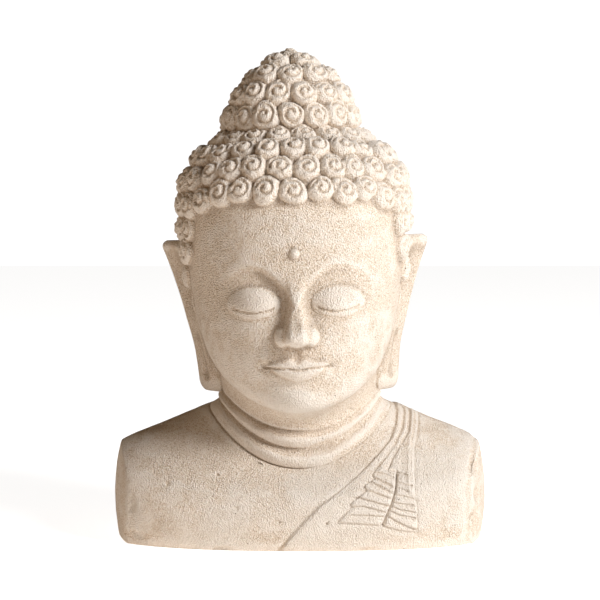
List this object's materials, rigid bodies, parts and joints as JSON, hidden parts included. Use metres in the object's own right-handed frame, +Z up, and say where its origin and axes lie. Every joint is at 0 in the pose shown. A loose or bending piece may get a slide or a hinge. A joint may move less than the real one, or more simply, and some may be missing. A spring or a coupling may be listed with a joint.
{
  "type": "stone buddha bust",
  "caption": "Carved stone bust with a curled domed hairstyle, long ears, folded neck and a robe over one shoulder, cut flat below.",
  "frame": {"origin": "middle of the flat underside", "axes": "+Z up along the head, the face looks towards -Y, +X towards the figure's own left shoulder, which carries the robe"},
  "size_m": [0.31, 0.2218, 0.4018],
  "materials": {
    "sandstone": "matte"
  },
  "bodies": {
    "root": {"buddha_bust": "sandstone"}
  },
  "joints": []
}
